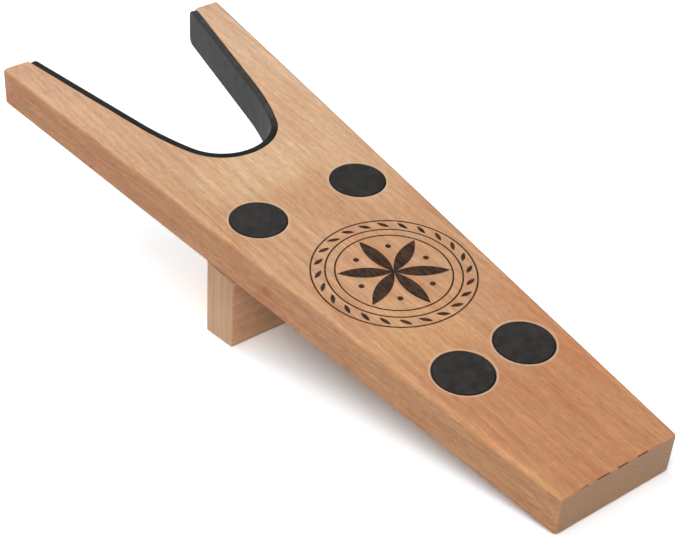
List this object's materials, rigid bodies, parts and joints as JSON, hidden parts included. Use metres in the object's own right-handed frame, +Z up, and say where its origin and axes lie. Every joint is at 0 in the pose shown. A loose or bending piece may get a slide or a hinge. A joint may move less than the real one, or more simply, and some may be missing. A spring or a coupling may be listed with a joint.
{
  "type": "boot jack",
  "caption": "Wooden boot jack: a tapered board on a foot block, with a rubber-lined V notch for the heel and inlaid round grip pads.",
  "frame": {"origin": "centre of the bounding box at floor level, under the middle of the board", "axes": "+X across the board, +Y from the toe towards the arm tips along the floor, +Z up"},
  "size_m": [0.1176, 0.3366, 0.0848],
  "materials": {
    "board_wood": "satin, close-grained pale hardwood",
    "block_wood": "satin, close-grained pale hardwood",
    "liner_rubber": "matt",
    "pad_rubber": "matt",
    "screw_steel": "zinc plated"
  },
  "bodies": {
    "root": {"board": "board_wood", "foot_block": "block_wood", "notch_liner": "liner_rubber", "pad_upper_left": "pad_rubber", "pad_upper_right": "pad_rubber", "pad_lower_left": "pad_rubber", "pad_lower_right": "pad_rubber", "block_screws": "screw_steel"}
  },
  "joints": []
}
